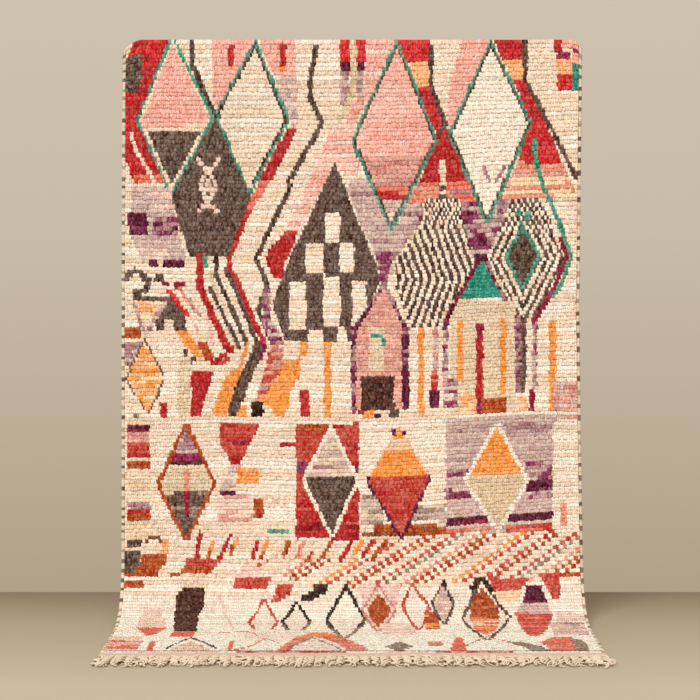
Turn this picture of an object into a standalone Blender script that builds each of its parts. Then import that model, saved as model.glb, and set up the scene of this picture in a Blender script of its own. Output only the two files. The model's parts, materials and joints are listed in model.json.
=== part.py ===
"""A boujad rug of knotted wool, hung by its top edge, with its lower end swept forward on to the floor.

The pile faces -Y and Z is up. The origin is the middle of the top edge, on the back of the cloth,
and every length is in metres. "Below the top" is a distance measured along the back of the cloth.
"""

import math

import bmesh
import bpy
import numpy as np

# The hanging rug
HANG_HEIGHT = 2.02
SWEEP_LENGTH = 0.40
FOOT_LENGTH = 0.261
BELLY_DEPTH = 0.012
BELLY_WIDTH = 0.95

# Outline of the rug, from its middle line to the outer side of each overcast edge
OUTLINE_COLUMNS = ("below_top", "left", "right")
OUTLINE = (
    (0.00, 0.801, 0.804),
    (0.20, 0.803, 0.803),
    (0.95, 0.804, 0.794),
    (1.45, 0.805, 0.801),
    (1.85, 0.806, 0.808),
    (2.10, 0.807, 0.811),
    (2.60, 0.808, 0.811),
)

# The two top corners, which nothing holds, sag below the straight edge between them
LEFT_SAG, LEFT_SAG_WIDTH = 0.042, 0.075
RIGHT_SAG, RIGHT_SAG_WIDTH = 0.030, 0.040
SAG_FADE = 0.22

# Knot rows: taller ones above, finer ones below, each a ridge between two hollows
TALL_ROW, SHORT_ROW = 0.0152, 0.0131
TALL_ROWS_END = 0.72
ROW_SPREAD = 0.08
HOLLOW_DEPTH, RIDGE_DEPTH = 0.0115, 0.0158
RIDGE_SPREAD = 0.0009
RIDGE_PLACE = 0.62
ROW_WANDER, WANDER_TURNS, WANDER_LENGTH = 0.0022, 1.7, 0.31
COLUMNS = (0.0, 0.046, 0.22, 0.41, 0.59, 0.78, 0.975, 1.0)
ROWS_PER_BACK_FACE = 4

# Overcast edge: yarn wrapped round the outer warps, one wrap to every two knot rows
EDGE_WIDTH = 0.0145
EDGE_DEPTH_THIN, EDGE_DEPTH_FULL = 0.0085, 0.0112
WRAP_BULGE = 0.0014
EDGE_SECTION_COLUMNS = ("share_of_width_inwards", "share_of_depth")
EDGE_SECTION = (
    (1.00, 0.00),
    (0.25, 0.00),
    (0.00, 0.55),
    (0.35, 1.00),
    (1.00, 0.90),
)

# Flat-woven end and its fringe, which lie on the floor
GAP = 0.0003
END_LENGTH = 0.042
END_THICKNESS = 0.004
END_BACK_POINTS = 13
BUNCHES = 48
LOCKS_PER_BUNCH = 2
LOCK_PITCH_IN_BUNCH = 0.013
FRINGE_MARGIN = 0.012
LOCK_LENGTH, LOCK_LENGTH_SPREAD = 0.138, 0.016
LOCK_SWAY, LOCK_SWAY_LEAST = 0.0035, 0.6
LOCK_TOP_SHARE = 0.6
CORNER_FLARE, CORNER_BUNCHES = 0.026, 2.5
LOCK_ROOT_WIDTH = 0.0062
LOCK_COLUMNS = ("along", "width", "height")
LOCK_PROFILE = (
    (0.10, 0.0094, 0.0105),
    (0.28, 0.0066, 0.0072),
    (0.52, 0.0080, 0.0088),
    (0.78, 0.0084, 0.0078),
    (1.00, 0.0042, 0.0040),
)

PATH_STEPS = 400
SEED = 7
SMOOTH_BELOW = math.radians(50)


def swept_path():
    """The back of the cloth in the bend: forward reach, drop and lean at even steps along it."""
    along = np.linspace(0.0, 1.0, PATH_STEPS + 1)
    lean = 0.5 * math.pi * along**2 * (3.0 - 2.0 * along)
    middle = 0.5 * (lean[1:] + lean[:-1])
    step = SWEEP_LENGTH / PATH_STEPS
    forward = np.concatenate([[0.0], np.cumsum(np.sin(middle)) * step])
    drop = np.concatenate([[0.0], np.cumsum(np.cos(middle)) * step])
    return along * SWEEP_LENGTH, forward, drop, lean


BEND_AT, BEND_FORWARD, BEND_DROP, BEND_LEAN = swept_path()
BEND_START = HANG_HEIGHT - BEND_DROP[-1]
BEND_END = BEND_START + SWEEP_LENGTH
PILE_LENGTH = BEND_END + FOOT_LENGTH


def back_line(below_top):
    """Depth, height and lean of the back of the cloth, this far below the top edge."""
    in_bend = np.clip(below_top - BEND_START, 0.0, SWEEP_LENGTH)
    depth = -np.interp(in_bend, BEND_AT, BEND_FORWARD) - np.maximum(below_top - BEND_END, 0.0)
    height = -np.minimum(below_top, BEND_START) - np.interp(in_bend, BEND_AT, BEND_DROP)
    height = np.where(below_top >= BEND_END, -HANG_HEIGHT, height)
    return depth, height, np.interp(in_bend, BEND_AT, BEND_LEAN)


def belly(x, below_top):
    """How far the hanging cloth stands off the wall: soft upright swells that fade out at both ends."""
    fade = np.sin(math.pi * np.clip(below_top / BEND_START, 0.0, 1.0)) ** 2
    return BELLY_DEPTH * fade * (0.5 + 0.5 * np.sin(2.0 * math.pi * x / BELLY_WIDTH + 0.6))


def sag(x, below_top):
    """How far the unheld top corners drop."""
    left_edge, right_edge = outline(0.0)
    left = LEFT_SAG * np.clip(1.0 - (x - left_edge) / LEFT_SAG_WIDTH, 0.0, 1.0) ** 2
    right = RIGHT_SAG * np.clip(1.0 - (right_edge - x) / RIGHT_SAG_WIDTH, 0.0, 1.0) ** 2
    return (left + right) * np.clip(1.0 - below_top / SAG_FADE, 0.0, 1.0) ** 2


def outline(below_top):
    """X of the outer side of the left and the right overcast edge."""
    table = dict(zip(OUTLINE_COLUMNS, np.array(OUTLINE).T))
    left = -np.interp(below_top, table["below_top"], table["left"])
    right = np.interp(below_top, table["below_top"], table["right"])
    return left, right


def place(x, below_top, depth):
    """Points on the cloth, this far off its back."""
    back_y, back_z, lean = back_line(below_top)
    y = back_y - depth * np.cos(lean) - belly(x, below_top)
    z = back_z + depth * np.sin(lean) - sag(x, below_top)
    return np.stack(np.broadcast_arrays(x, y, z), axis=-1)


def knot_row_lines():
    """Distances of the hollows between knot rows, from the top edge to the end of the pile."""
    rng = np.random.default_rng(SEED)
    lines = [0.0]
    while lines[-1] < PILE_LENGTH:
        pitch = TALL_ROW if lines[-1] < TALL_ROWS_END else SHORT_ROW
        lines.append(lines[-1] + pitch * rng.uniform(1.0 - ROW_SPREAD, 1.0 + ROW_SPREAD))
    return np.array(lines) * PILE_LENGTH / lines[-1]


ROW_LINES = knot_row_lines()


def zipped(line_a, line_b, at_a, at_b):
    """Triangles between two lines of points, walked together by the distance at each point."""
    i = j = 0
    faces = []
    while i < len(line_a) - 1 or j < len(line_b) - 1:
        step_a = j == len(line_b) - 1 or (i < len(line_a) - 1 and at_a[i + 1] <= at_b[j + 1])
        if step_a:
            faces.append((line_a[i + 1], line_a[i], line_b[j]))
            i += 1
        else:
            faces.append((line_b[j], line_b[j + 1], line_a[i]))
            j += 1
    return faces


def grid_faces(index, outward):
    """Quads over a grid of point numbers, turned over where outward is false."""
    quads = [
        (index[i, j], index[i + 1, j], index[i + 1, j + 1], index[i, j + 1])
        for i in range(index.shape[0] - 1)
        for j in range(index.shape[1] - 1)
    ]
    return quads if outward else [quad[::-1] for quad in quads]


def add_piece(name, points, faces, material):
    """A named object of one closed body, its faces turned outwards."""
    mesh = bpy.data.meshes.new(name)
    mesh.from_pydata([tuple(point) for point in points], [], [tuple(map(int, face)) for face in faces])
    shaped = bmesh.new()
    shaped.from_mesh(mesh)
    bmesh.ops.recalc_face_normals(shaped, faces=shaped.faces)
    shaped.to_mesh(mesh)
    shaped.free()
    mesh.shade_smooth()
    mesh.set_sharp_from_angle(angle=SMOOTH_BELOW)
    mesh.materials.append(material)
    piece = bpy.data.objects.new(name, mesh)
    bpy.context.scene.collection.objects.link(piece)
    return piece


def wool(name, colour, roughness):
    material = bpy.data.materials.new(name)
    material.use_nodes = True
    shader = material.node_tree.nodes["Principled BSDF"]
    shader.inputs["Base Color"].default_value = (*colour, 1.0)
    shader.inputs["Roughness"].default_value = roughness
    shader.inputs["Metallic"].default_value = 0.0
    return material


def knotted_cloth():
    """The pile cloth: a flat back, and a front with one raised ridge for each row of knots."""
    rng = np.random.default_rng(SEED + 1)
    pitch = np.diff(ROW_LINES)
    ridges = ROW_LINES[:-1] + RIDGE_PLACE * pitch
    at = np.sort(np.concatenate([ROW_LINES, ridges]))
    depth = np.where(np.arange(len(at)) % 2 == 0, HOLLOW_DEPTH, RIDGE_DEPTH)
    across = np.array(COLUMNS)

    wave = np.sin(2.0 * math.pi * (WANDER_TURNS * across[None, :] + at[:, None] / WANDER_LENGTH))
    wander = ROW_WANDER * wave * np.sin(math.pi * across)[None, :]
    ends = (at > 0.0) & (at < PILE_LENGTH)
    front_at = at[:, None] + np.where(ends[:, None], wander, 0.0)
    uneven = rng.uniform(-RIDGE_SPREAD, RIDGE_SPREAD, (len(at), len(across)))
    front_depth = depth[:, None] + np.where(depth[:, None] == RIDGE_DEPTH, uneven, 0.0)

    back_rows = np.append(np.arange(0, len(ROW_LINES) - 1, ROWS_PER_BACK_FACE), len(ROW_LINES) - 1)
    back_at = ROW_LINES[back_rows]

    def field_x(below_top):
        left, right = outline(below_top)
        left = left + EDGE_WIDTH + GAP
        right = right - EDGE_WIDTH - GAP
        return left[:, None] + (right - left)[:, None] * across[None, :]

    front = place(field_x(at), front_at, front_depth)
    back = place(field_x(back_at), np.repeat(back_at[:, None], len(across), axis=1), 0.0)
    front_no = np.arange(front.shape[0] * len(across)).reshape(-1, len(across))
    back_no = front_no[-1, -1] + 1 + np.arange(back.shape[0] * len(across)).reshape(-1, len(across))

    faces = grid_faces(front_no, True) + grid_faces(back_no, False)
    faces += zipped(front_no[:, 0], back_no[:, 0], at, back_at)
    faces += zipped(back_no[:, -1], front_no[:, -1], back_at, at)
    faces += grid_faces(np.stack([back_no[0], front_no[0]]), True)
    faces += grid_faces(np.stack([front_no[-1], back_no[-1]]), True)
    points = np.concatenate([front.reshape(-1, 3), back.reshape(-1, 3)])
    return add_piece("pile_cloth", points, faces, wool("pile_wool", (0.83, 0.69, 0.55), 0.95))


def overcast_edge(name, side, material):
    """The wrapped edge along one long side: a flat roll that swells at every wrap."""
    full = np.arange(len(ROW_LINES)) % 2 == 1
    drawn_in = np.where(full, 0.0, WRAP_BULGE)
    thick = np.where(full, EDGE_DEPTH_FULL, EDGE_DEPTH_THIN)
    outer = outline(ROW_LINES)[side]
    inwards = 1.0 if side == 0 else -1.0
    corners = []
    for row in EDGE_SECTION:
        corner = dict(zip(EDGE_SECTION_COLUMNS, row))
        across = corner["share_of_width_inwards"]
        x = outer + inwards * (EDGE_WIDTH * across + drawn_in * (across == 0.0))
        corners.append(place(x, ROW_LINES, thick * corner["share_of_depth"]))
    points = np.stack(corners, axis=1)
    number = np.arange(points.shape[0] * points.shape[1]).reshape(points.shape[:2])
    faces = grid_faces(np.concatenate([number, number[:, :1]], axis=1), True)
    faces += [tuple(number[0]), tuple(number[-1][::-1])]
    return add_piece(name, points.reshape(-1, 3), faces, material)


def lock_roots(left, right):
    """X of the middle of each lock, in bunches along the end of the rug."""
    bunch_pitch = (right - left - 2.0 * FRINGE_MARGIN) / BUNCHES
    middles = left + FRINGE_MARGIN + bunch_pitch * (np.arange(BUNCHES) + 0.5)
    in_bunch = (np.arange(LOCKS_PER_BUNCH) - 0.5 * (LOCKS_PER_BUNCH - 1)) * LOCK_PITCH_IN_BUNCH
    return (middles[:, None] + in_bunch[None, :]).reshape(-1)


def lock_rings(root_x, number, count, front_y, rng):
    """The sections of one lock of fringe, which lies level on the floor."""
    length = LOCK_LENGTH + rng.uniform(-1.0, 1.0) * LOCK_LENGTH_SPREAD
    outward = -1.0 if number % LOCKS_PER_BUNCH == 0 else 1.0
    from_corner = min(number, count - 1 - number) / (CORNER_BUNCHES * LOCKS_PER_BUNCH)
    flare = CORNER_FLARE * max(0.0, 1.0 - from_corner) * (-1.0 if number < count / 2 else 1.0)
    sway = LOCK_SWAY * rng.uniform(LOCK_SWAY_LEAST, 1.0)
    rings = []
    for row in LOCK_PROFILE:
        section = dict(zip(LOCK_COLUMNS, row))
        along = section["along"]
        x = root_x + outward * sway * math.sin(math.pi * along) + flare * along**1.5
        y = front_y - length * along
        half, top = 0.5 * section["width"], section["height"]
        floor = -HANG_HEIGHT
        rings.append(
            (
                (x - half, y, floor),
                (x - LOCK_TOP_SHARE * half, y, floor + top),
                (x + LOCK_TOP_SHARE * half, y, floor + top),
                (x + half, y, floor),
            )
        )
    return rings


def fringed_end():
    """The flat-woven end strip, with the locks of the fringe growing out of its front edge."""
    rng = np.random.default_rng(SEED + 2)
    back_y = back_line(PILE_LENGTH)[0] - GAP
    front_y = back_y - END_LENGTH
    left, right = (float(x) for x in outline(PILE_LENGTH))
    floor, top = -HANG_HEIGHT, END_THICKNESS - HANG_HEIGHT
    roots = lock_roots(left, right)
    half = 0.5 * LOCK_ROOT_WIDTH
    front_x = np.concatenate([[left], np.stack([roots - half, roots + half], axis=1).reshape(-1), [right]])
    back_x = np.linspace(left, right, END_BACK_POINTS)

    points = []
    lines = {}
    for name, xs, y, z in (
        ("front_low", front_x, front_y, floor),
        ("front_high", front_x, front_y, top),
        ("back_low", back_x, back_y, floor),
        ("back_high", back_x, back_y, top),
    ):
        lines[name] = list(range(len(points), len(points) + len(xs)))
        points += [(x, y, z) for x in xs]

    low, high = lines["front_low"], lines["front_high"]
    faces = zipped(high, lines["back_high"], front_x, back_x)
    faces += zipped(lines["back_low"], low, back_x, front_x)
    faces += grid_faces(np.array([lines["back_high"], lines["back_low"]]), False)
    for between in range(0, len(front_x), 2):
        faces.append((high[between], low[between], low[between + 1], high[between + 1]))
    faces.append((lines["back_high"][0], lines["back_low"][0], low[0], high[0]))
    faces.append((high[-1], low[-1], lines["back_low"][-1], lines["back_high"][-1]))

    for number, root_x in enumerate(roots):
        at = 2 * number + 1
        ring = [low[at], high[at], high[at + 1], low[at + 1]]
        for section in lock_rings(root_x, number, len(roots), front_y, rng):
            following = list(range(len(points), len(points) + len(section)))
            points += section
            for side in range(4):
                after = (side + 1) % 4
                faces.append((ring[side], ring[after], following[after], following[side]))
            ring = following
        faces.append(tuple(ring))
    return add_piece("fringed_end", points, faces, wool("end_wool", (0.62, 0.51, 0.38), 0.95))


def main():
    for leftover in list(bpy.data.objects):
        bpy.data.objects.remove(leftover, do_unlink=True)
    knotted_cloth()
    edge_wool = wool("edge_wool", (0.45, 0.36, 0.28), 0.95)
    overcast_edge("overcast_edge_left", 0, edge_wool)
    overcast_edge("overcast_edge_right", 1, edge_wool)
    fringed_end()


main()
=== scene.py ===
import json
import math

import bmesh
import bpy
import numpy as np
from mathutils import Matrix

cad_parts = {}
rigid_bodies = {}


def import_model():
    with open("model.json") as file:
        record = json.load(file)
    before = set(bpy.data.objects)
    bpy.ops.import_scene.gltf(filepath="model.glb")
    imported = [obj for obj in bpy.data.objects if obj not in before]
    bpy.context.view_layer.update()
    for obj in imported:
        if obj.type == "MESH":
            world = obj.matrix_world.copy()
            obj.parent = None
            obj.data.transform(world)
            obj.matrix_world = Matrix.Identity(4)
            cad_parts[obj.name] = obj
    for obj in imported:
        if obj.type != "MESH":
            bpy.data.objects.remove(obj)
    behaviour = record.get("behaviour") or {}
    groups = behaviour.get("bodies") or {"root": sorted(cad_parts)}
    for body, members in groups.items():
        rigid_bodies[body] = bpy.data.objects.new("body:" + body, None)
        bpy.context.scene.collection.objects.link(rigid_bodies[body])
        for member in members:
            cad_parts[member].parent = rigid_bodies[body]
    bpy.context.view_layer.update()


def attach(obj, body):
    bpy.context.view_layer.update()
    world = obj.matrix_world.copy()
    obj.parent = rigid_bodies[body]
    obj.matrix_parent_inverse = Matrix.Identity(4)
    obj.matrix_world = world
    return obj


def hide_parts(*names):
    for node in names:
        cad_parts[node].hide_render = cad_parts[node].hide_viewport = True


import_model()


# THE GROUND WEAVE
# Warps and thick beige wefts make the thin cloth that every knot is tied on. It hangs straight from
# its top edge, bends softly forward and lies flat on the floor. Lengths are in metres, and "down"
# is measured along the back of the cloth from the top edge.

hang_height = 2.02
sweep_length = 0.40
foot_length = 0.261
belly_depth, belly_width, belly_turn = 0.012, 0.95, 0.6
edge_width, gap = 0.0145, 0.0003
weave_back, weave_thick = 0.0004, 0.0024
cloth_width, weft_pitch, warp_pitch = 1.58, 0.0034, 0.0070
left_sag, left_sag_width = 0.042, 0.075
right_sag, right_sag_width = 0.030, 0.040
sag_fade = 0.22

outline_down = (0.00, 0.20, 0.95, 1.45, 1.85, 2.10, 2.60)
outline_left = (0.801, 0.803, 0.804, 0.805, 0.806, 0.807, 0.808)
outline_right = (0.804, 0.803, 0.794, 0.801, 0.808, 0.811, 0.811)

sweep_share = np.linspace(0.0, 1.0, 401)
sweep_lean = 0.5 * math.pi * sweep_share**2 * (3.0 - 2.0 * sweep_share)
half_way = 0.5 * (sweep_lean[1:] + sweep_lean[:-1])
sweep_step = sweep_length / (len(sweep_share) - 1)
sweep_forward = np.concatenate([[0.0], np.cumsum(np.sin(half_way)) * sweep_step])
sweep_drop = np.concatenate([[0.0], np.cumsum(np.cos(half_way)) * sweep_step])
bend_start = hang_height - sweep_drop[-1]
bend_end = bend_start + sweep_length
pile_length = bend_end + foot_length


def side_lines(down):
    """X of the rug's left and right side."""
    left = -np.interp(down, outline_down, outline_left)
    return left, np.interp(down, outline_down, outline_right)


def on_rug(x, down, off):
    """Points on the rug: off is how far they stand in front of the back of the cloth."""
    x, down, off = np.broadcast_arrays(x, down, off)
    in_bend = np.clip(down - bend_start, 0.0, sweep_length)
    lean = np.interp(in_bend, sweep_share * sweep_length, sweep_lean)
    back_y = -np.interp(in_bend, sweep_share * sweep_length, sweep_forward)
    back_y = back_y - np.maximum(down - bend_end, 0.0)
    bend_drop = np.interp(in_bend, sweep_share * sweep_length, sweep_drop)
    back_z = -np.minimum(down, bend_start) - bend_drop
    swell = np.sin(math.pi * np.clip(down / bend_start, 0.0, 1.0)) ** 2
    swell = belly_depth * swell * (0.5 + 0.5 * np.sin(2.0 * math.pi * x / belly_width + belly_turn))
    from_left, from_right = x + outline_left[0], outline_right[0] - x
    left_corner = left_sag * np.clip(1.0 - from_left / left_sag_width, 0.0, 1.0) ** 2
    right_corner = right_sag * np.clip(1.0 - from_right / right_sag_width, 0.0, 1.0) ** 2
    drop = (left_corner + right_corner) * np.clip(1.0 - down / sag_fade, 0.0, 1.0) ** 2
    y = back_y - off * np.cos(lean) - swell
    z = back_z + off * np.sin(lean) - drop
    return np.stack([x, y, z], axis=-1)


def deselect():
    for other in bpy.context.view_layer.objects:
        other.select_set(False)


def new_grid(name, across, along):
    """A flat grid with this many faces, and every point's two shares of it, from 0 to 1."""
    deselect()
    bpy.ops.mesh.primitive_grid_add(x_subdivisions=across, y_subdivisions=along, size=1.0)
    piece = bpy.context.active_object
    piece.name = piece.data.name = name
    points = np.empty(len(piece.data.vertices) * 3)
    piece.data.vertices.foreach_get("co", points)
    points = points.reshape(-1, 3)
    return piece, points[:, 0] + 0.5, points[:, 1] + 0.5


def put_points(piece, points):
    piece.data.vertices.foreach_set("co", np.asarray(points, dtype=np.float64).reshape(-1))
    piece.data.update()


def face_outwards(piece):
    shaped = bmesh.new()
    shaped.from_mesh(piece.data)
    bmesh.ops.recalc_face_normals(shaped, faces=shaped.faces)
    shaped.to_mesh(piece.data)
    shaped.free()
    piece.data.update()


def add_uv(piece, name, per_corner):
    layer = piece.data.uv_layers.new(name=name)
    layer.data.foreach_set("uv", np.asarray(per_corner, dtype=np.float32).reshape(-1))


def corner_points(piece):
    index = np.empty(len(piece.data.loops), dtype=np.int32)
    piece.data.loops.foreach_get("vertex_index", index)
    return index


class Nodes:
    """A material's nodes, made and joined in short lines."""

    def __init__(self, name, roughness, sheen=0.0):
        self.material = bpy.data.materials.new(name)
        self.material.use_nodes = True
        self.tree = self.material.node_tree
        self.shader = self.tree.nodes["Principled BSDF"]
        self.shader.inputs["Roughness"].default_value = roughness
        self.shader.inputs["Sheen Weight"].default_value = sheen
        self.shader.inputs["Sheen Roughness"].default_value = 0.6
        self.shader.inputs["Specular IOR Level"].default_value = 0.06

    def add(self, kind, links=(), **values):
        """A node of this kind. links feeds its sockets, and values are the node's own settings."""
        node = self.tree.nodes.new(kind)
        for key, value in values.items():
            setattr(node, key, value)
        for socket, source in dict(links).items():
            if isinstance(source, bpy.types.NodeSocket):
                self.tree.links.new(source, node.inputs[socket])
            else:
                node.inputs[socket].default_value = source
        return node

    def noise(self, vector, scale, detail, stretch=None):
        if stretch:
            vector = self.add("ShaderNodeMapping", {"Vector": vector, "Scale": stretch}).outputs[0]
        sockets = {"Vector": vector, "Scale": scale, "Detail": detail}
        return self.add("ShaderNodeTexNoise", sockets).outputs["Fac"]

    def spread(self, value, start, end, low=0.0, high=1.0):
        """The value, taken from start..end to low..high."""
        sockets = {"Value": value, "From Min": start, "From Max": end}
        sockets.update({"To Min": low, "To Max": high})
        return self.add("ShaderNodeMapRange", sockets).outputs[0]

    def scaled(self, colour, by):
        sockets = {0: colour, "Scale": by}
        return self.add("ShaderNodeVectorMath", sockets, operation="SCALE").outputs[0]

    def math(self, operation, a, b=0.0, c=0.0):
        return self.add("ShaderNodeMath", {0: a, 1: b, 2: c}, operation=operation).outputs[0]

    def mix(self, share, a, b, blend="MIX"):
        node = self.add("ShaderNodeMix", data_type="RGBA", blend_type=blend)
        for socket, source in ((0, share), (6, a), (7, b)):
            if isinstance(source, bpy.types.NodeSocket):
                self.tree.links.new(source, node.inputs[socket])
            else:
                node.inputs[socket].default_value = source if socket == 0 else (*source[:3], 1.0)
        return node.outputs[2]

    def finish(self, colour, height, distance, strength=1.0):
        """Joins the colour, and the height as a bump this many metres deep."""
        sockets = {"Height": height, "Distance": distance, "Strength": strength}
        bump = self.add("ShaderNodeBump", sockets)
        self.tree.links.new(colour, self.shader.inputs["Base Color"])
        self.tree.links.new(bump.outputs["Normal"], self.shader.inputs["Normal"])
        return self.material


def linear(red, green, blue):
    """A colour as a painter reads it, 0 to 255, as the light that the shader needs."""
    painted = (red, green, blue)
    return tuple(((c / 255.0 + 0.055) / 1.055) ** 2.4 if c > 10 else c / 3294.6 for c in painted)


ground, across, along = new_grid("ground_weave", 30, 130)
left, right = side_lines(along * pile_length)
left, right = left + edge_width + gap, right - edge_width - gap
put_points(ground, on_rug(left + (right - left) * across, along * pile_length, weave_back))
cloth_places = np.stack([across * cloth_width, along * pile_length], axis=1)
add_uv(ground, "cloth", cloth_places[corner_points(ground)])
bpy.context.view_layer.objects.active = ground
wall = ground.modifiers.new("thickness", "SOLIDIFY")
wall.thickness = weave_thick
wall.offset = -1.0
bpy.ops.object.modifier_apply(modifier=wall.name)
face_outwards(ground)
ground.data.shade_smooth()

weave = Nodes("beige_ground_weave", 0.95)
cloth = weave.add("ShaderNodeUVMap", uv_map="cloth")
parts = weave.add("ShaderNodeSeparateXYZ", {0: cloth.outputs["UV"]})
weft = weave.math("SINE", weave.math("MULTIPLY", parts.outputs["Y"], 2.0 * math.pi / weft_pitch))
warp = weave.math("SINE", weave.math("MULTIPLY", parts.outputs["X"], 2.0 * math.pi / warp_pitch))
rise = weave.math("MULTIPLY_ADD", warp, 0.25, weave.math("MULTIPLY_ADD", weft, 0.4, 0.5))
slub = weave.noise(cloth.outputs["UV"], 90.0, 4.0)
shade = weave.mix(slub, linear(206, 190, 160), linear(232, 218, 192))
shade = weave.mix(weave.math("MULTIPLY", rise, 0.35), shade, linear(246, 236, 214))
ground.data.materials.clear()
ground.data.materials.append(weave.finish(shade, rise, 0.0006))
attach(ground, "root")
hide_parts("pile_cloth")


# THE KNOTTED PILE
# Each knot is a short length of hand-spun wool tied round two warps: its back shows behind the
# cloth, and its cut end hangs down over the row below. The weaver counts the design in knots.

row_seed = 7
tall_row, short_row, tall_rows_end, row_spread = 0.0152, 0.0131, 0.72, 0.08
knots_across = 226
tying_seed, wool_seed, fleece_seed = 12, 21, 33
row_stagger, knot_stagger = 0.42, 0.10

rng = np.random.default_rng(row_seed)
row_lines = [0.0]
while row_lines[-1] < pile_length:
    pitch = tall_row if row_lines[-1] < tall_rows_end else short_row
    row_lines.append(row_lines[-1] + pitch * rng.uniform(1.0 - row_spread, 1.0 + row_spread))
row_lines = np.array(row_lines) * pile_length / row_lines[-1]
rows = len(row_lines) - 1
row_pitch = np.diff(row_lines)[:, None] * np.ones((1, knots_across))

# The dyed and undyed wools, as the eye sees them.
wools = {
    "cream": (240, 212, 186),
    "white": (246, 227, 208),
    "beige": (227, 201, 170),
    "tan": (223, 195, 161),
    "pink": (243, 176, 160),
    "pale pink": (240, 204, 188),
    "dusty pink": (222, 160, 144),
    "salmon": (228, 150, 124),
    "peach": (247, 208, 170),
    "coral": (228, 120, 98),
    "red": (184, 44, 42),
    "dark red": (150, 26, 30),
    "crimson": (150, 28, 56),
    "magenta": (150, 36, 84),
    "orange": (243, 155, 80),
    "rust": (180, 84, 34),
    "grey brown": (108, 85, 73),
    "dark": (100, 76, 62),
    "maroon": (86, 48, 34),
    "black": (56, 33, 16),
    "teal": (88, 150, 126),
    "deep teal": (52, 146, 126),
    "lilac": (211, 180, 168),
    "mauve": (176, 132, 132),
    "purple": (100, 28, 56),
    "grey": (160, 136, 116),
    "brown": (142, 78, 40),
    "brick": (200, 82, 66),
    "apricot": (246, 178, 126),
    "plum": (140, 62, 92),
    "rose": (206, 140, 130),
    "bright red": (208, 52, 50),
    "dusty lilac": (200, 166, 158),
    # The palest wool is painted light: it stands for the stronger light that falls on the flat
    # foot.
    "milk_painted_light": (255, 241, 222),
    "light pink": (247, 187, 171),
}
wool_names = list(wools)

middle_row = 0.5 * (row_lines[1:] + row_lines[:-1])
left, right = side_lines(middle_row)
left, right = left + edge_width + gap, right - edge_width - gap
knot_pitch = ((right - left) / knots_across)[:, None] * np.ones((1, knots_across))
knot_x = left[:, None] + knot_pitch * (np.arange(knots_across) + 0.5)
tying = np.random.default_rng(tying_seed)
knot_share = (np.arange(knots_across) + 0.5) / knots_across
stagger = row_stagger * tying.uniform(-1.0, 1.0, (rows, 1))
stagger = stagger + knot_stagger * tying.uniform(-1.0, 1.0, knot_x.shape)
from_sides = np.clip(20.0 * np.minimum(knot_share, 1.0 - knot_share), 0.0, 1.0)
knot_x = knot_x + knot_pitch * stagger * from_sides
column = np.arange(knots_across)[None, :] * np.ones((rows, 1), int)
row = np.arange(rows)[:, None] * np.ones((1, knots_across), int)

# The rows aren't beaten in quite level: they wander a little, and climb towards the right side.
climb_down = (0.0, 0.12, 0.35, 0.80, 1.30, 1.74, 2.05, 2.392)
climb_most = (0.0, 0.018, 0.034, 0.020, 0.020, 0.042, 0.020, 0.0)
climb_from, climb_width = 0.12, 0.68
slow_wander, quick_wander = 0.0020, 0.0014


def row_shift(x, down):
    """How far a row lies below its level place, this far along it."""
    across_right = np.clip((x - climb_from) / climb_width, 0.0, 1.0)
    climb = np.interp(down, climb_down, climb_most)
    climb = climb * across_right**2 * (3.0 - 2.0 * across_right)
    inner = np.clip(8.0 * down, 0.0, 1.0) * np.clip(8.0 * (pile_length - down), 0.0, 1.0)
    wave = slow_wander * np.sin(7.1 * x + 5.0 * down + 1.0)
    wave = wave + quick_wander * np.sin(17.0 * x - 9.0 * down)
    return inner * wave - climb


# The design is laid out in the photo's pixels. On the hanging cloth one of them is 3.484 mm, about
# half a knot. The corners of the upper motifs are pixels counted from the rug's left side, in
# column 121 of the photo, and from its top edge, in row 40. They were read off enlarged crops.
# From the slanting strokes down, a scratch program carried them round the bend, and some were then
# moved by hand. U and V say where each knot lies in this measure, and W is V for rows that don't
# climb.
photo_pixel = 0.003484
left_column, middle_column = 121, 352
U = knot_x / photo_pixel + (middle_column - left_column)
W = middle_row[:, None] / photo_pixel * np.ones((1, knots_across))
V = (middle_row[:, None] + row_shift(knot_x, middle_row[:, None])) / photo_pixel
chart = np.full((rows, knots_across), wool_names.index("cream"))
chance = np.random.default_rng(wool_seed)


def inside(*corners):
    """The knots inside a shape with these corners, each given across and down."""
    hit = np.zeros(U.shape, bool)
    for (u0, v0), (u1, v1) in zip(corners, corners[1:] + corners[:1]):
        if v0 != v1:
            crosses = (V >= min(v0, v1)) & (V < max(v0, v1))
            hit ^= crosses & (U < u0 + (V - v0) * (u1 - u0) / (v1 - v0))
    return hit


def box(left, right, top, bottom):
    return (U >= left) & (U < right) & (V >= top) & (V < bottom)


def level_box(left, right, top, bottom):
    """A box whose top and bottom follow the rows."""
    return (U >= left) & (U < right) & (W >= top) & (W < bottom)


def along_line(width, *points):
    """The knots within this width of a line."""
    hit = np.zeros(U.shape, bool)
    for (u0, v0), (u1, v1) in zip(points, points[1:]):
        length = math.hypot(u1 - u0, v1 - v0)
        share = ((U - u0) * (u1 - u0) + (V - v0) * (v1 - v0)) / length**2
        share = np.clip(share, 0.0, 1.0)
        off = np.hypot(U - u0 - share * (u1 - u0), V - v0 - share * (v1 - v0))
        hit |= off < 0.5 * width
    return hit


def knot(where, *names, run=(6, 26)):
    """Ties these knots. With several wools, each row changes wool after a run of knots."""
    if len(names) == 1:
        chart[where] = wool_names.index(names[0])
        return
    for row in np.nonzero(where.any(axis=1))[0]:
        picks = np.empty(knots_across, int)
        at = 0
        while at < knots_across:
            run_end = at + int(chance.integers(*run))
            picks[at:run_end] = wool_names.index(names[int(chance.integers(len(names)))])
            at = run_end
        chart[row, where[row]] = picks[where[row]]


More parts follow.
